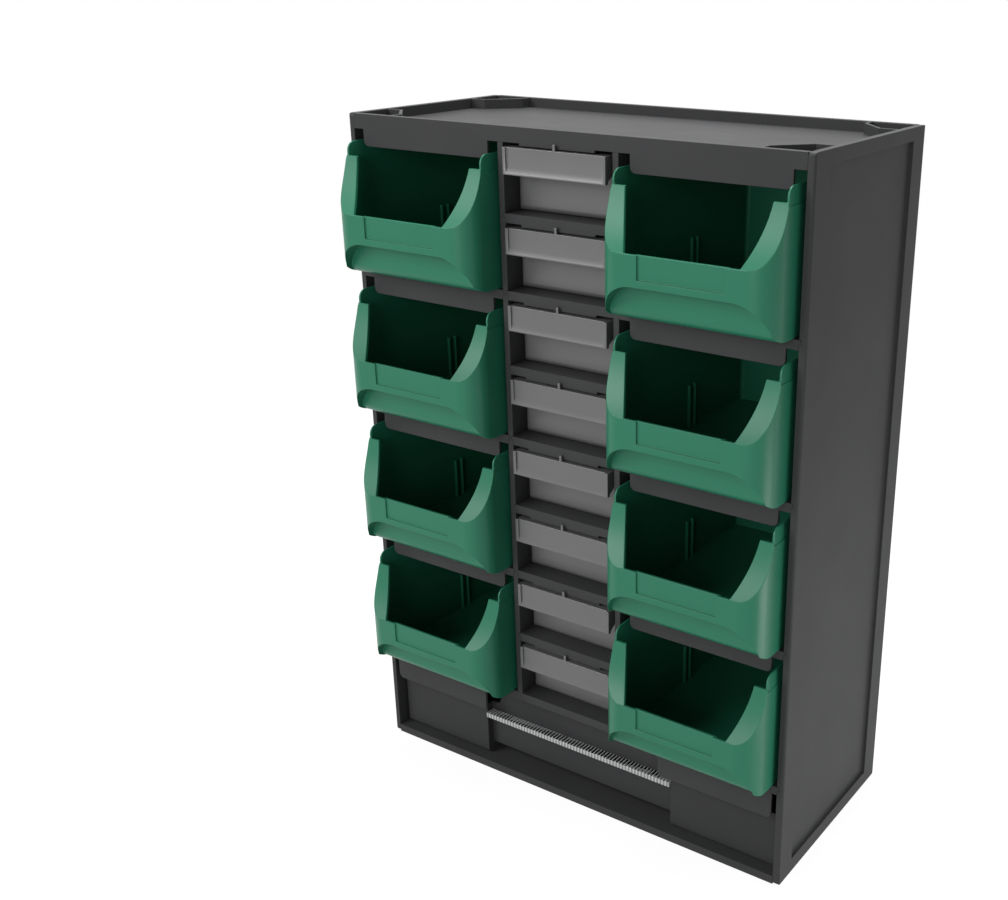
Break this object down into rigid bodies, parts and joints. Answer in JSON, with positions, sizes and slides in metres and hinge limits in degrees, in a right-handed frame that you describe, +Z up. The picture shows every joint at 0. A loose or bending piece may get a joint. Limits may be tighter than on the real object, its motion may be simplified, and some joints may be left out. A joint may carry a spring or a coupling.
{
  "type": "parts bin cabinet",
  "caption": "Upright plastic parts cabinet with open-front bins in two columns, a middle column of small drawers, a wide drawer below and a stacking tray on top.",
  "frame": {"origin": "middle of the cabinet's footprint, on the surface that it stands on", "axes": "+X to the right as seen from the front, +Y to the back, +Z up"},
  "size_m": [0.31, 0.1668, 0.4318],
  "materials": {
    "case_plastic": "charcoal moulded polypropylene with a fine satin grain",
    "drawer_plastic": "charcoal moulded polypropylene, slightly smoother than the case",
    "bin_plastic": "green moulded polypropylene, satin with soft highlights on the edges",
    "smoke_plastic": "smoky grey translucent styrene, semi-gloss",
    "clear_plastic": "clear styrene with fine cross ribs"
  },
  "bodies": {
    "cabinet": {"side_panel_left": "case_plastic", "side_panel_right": "case_plastic", "top_tray": "case_plastic", "base_panel": "case_plastic", "back_panel": "case_plastic", "divider_left": "case_plastic", "divider_right": "case_plastic", "drawer_shelf": "case_plastic", "shelf_left_1": "case_plastic", "shelf_left_2": "case_plastic", "shelf_left_3": "case_plastic", "shelf_right_1": "case_plastic", "shelf_right_2": "case_plastic", "shelf_right_3": "case_plastic", "shelf_middle_1": "case_plastic", "shelf_middle_2": "case_plastic", "shelf_middle_3": "case_plastic", "shelf_middle_4": "case_plastic", "shelf_middle_5": "case_plastic", "shelf_middle_6": "case_plastic", "shelf_middle_7": "case_plastic"},
    "bin_left_1": {"bin_left_1": "bin_plastic"},
    "bin_left_2": {"bin_left_2": "bin_plastic"},
    "bin_left_3": {"bin_left_3": "bin_plastic"},
    "bin_left_4": {"bin_left_4": "bin_plastic"},
    "bin_right_1": {"bin_right_1": "bin_plastic"},
    "bin_right_2": {"bin_right_2": "bin_plastic"},
    "bin_right_3": {"bin_right_3": "bin_plastic"},
    "bin_right_4": {"bin_right_4": "bin_plastic"},
    "small_drawer_1": {"small_drawer_1": "smoke_plastic"},
    "small_drawer_2": {"small_drawer_2": "smoke_plastic"},
    "small_drawer_3": {"small_drawer_3": "smoke_plastic"},
    "small_drawer_4": {"small_drawer_4": "smoke_plastic"},
    "small_drawer_5": {"small_drawer_5": "smoke_plastic"},
    "small_drawer_6": {"small_drawer_6": "smoke_plastic"},
    "small_drawer_7": {"small_drawer_7": "smoke_plastic"},
    "small_drawer_8": {"small_drawer_8": "smoke_plastic"},
    "wide_drawer": {"wide_drawer": "drawer_plastic", "handle_strip": "clear_plastic"}
  },
  "joints": [
    {"name": "bin_left_1_slide", "type": "slide", "parent": "cabinet", "child": "bin_left_1", "axis": [0, -1, 0], "range_m": [0, 0.12]},
    {"name": "bin_left_2_slide", "type": "slide", "parent": "cabinet", "child": "bin_left_2", "axis": [0, -1, 0], "range_m": [0, 0.12]},
    {"name": "bin_left_3_slide", "type": "slide", "parent": "cabinet", "child": "bin_left_3", "axis": [0, -1, 0], "range_m": [0, 0.12]},
    {"name": "bin_left_4_slide", "type": "slide", "parent": "cabinet", "child": "bin_left_4", "axis": [0, -1, 0], "range_m": [0, 0.12]},
    {"name": "bin_right_1_slide", "type": "slide", "parent": "cabinet", "child": "bin_right_1", "axis": [0, -1, 0], "range_m": [0, 0.12]},
    {"name": "bin_right_2_slide", "type": "slide", "parent": "cabinet", "child": "bin_right_2", "axis": [0, -1, 0], "range_m": [0, 0.12]},
    {"name": "bin_right_3_slide", "type": "slide", "parent": "cabinet", "child": "bin_right_3", "axis": [0, -1, 0], "range_m": [0, 0.12]},
    {"name": "bin_right_4_slide", "type": "slide", "parent": "cabinet", "child": "bin_right_4", "axis": [0, -1, 0], "range_m": [0, 0.12]},
    {"name": "small_drawer_1_slide", "type": "slide", "parent": "cabinet", "child": "small_drawer_1", "axis": [0, -1, 0], "range_m": [0, 0.105]},
    {"name": "small_drawer_2_slide", "type": "slide", "parent": "cabinet", "child": "small_drawer_2", "axis": [0, -1, 0], "range_m": [0, 0.105]},
    {"name": "small_drawer_3_slide", "type": "slide", "parent": "cabinet", "child": "small_drawer_3", "axis": [0, -1, 0], "range_m": [0, 0.105]},
    {"name": "small_drawer_4_slide", "type": "slide", "parent": "cabinet", "child": "small_drawer_4", "axis": [0, -1, 0], "range_m": [0, 0.105]},
    {"name": "small_drawer_5_slide", "type": "slide", "parent": "cabinet", "child": "small_drawer_5", "axis": [0, -1, 0], "range_m": [0, 0.105]},
    {"name": "small_drawer_6_slide", "type": "slide", "parent": "cabinet", "child": "small_drawer_6", "axis": [0, -1, 0], "range_m": [0, 0.105]},
    {"name": "small_drawer_7_slide", "type": "slide", "parent": "cabinet", "child": "small_drawer_7", "axis": [0, -1, 0], "range_m": [0, 0.105]},
    {"name": "small_drawer_8_slide", "type": "slide", "parent": "cabinet", "child": "small_drawer_8", "axis": [0, -1, 0], "range_m": [0, 0.105]},
    {"name": "wide_drawer_slide", "type": "slide", "parent": "cabinet", "child": "wide_drawer", "axis": [0, -1, 0], "range_m": [0, 0.1]}
  ]
}
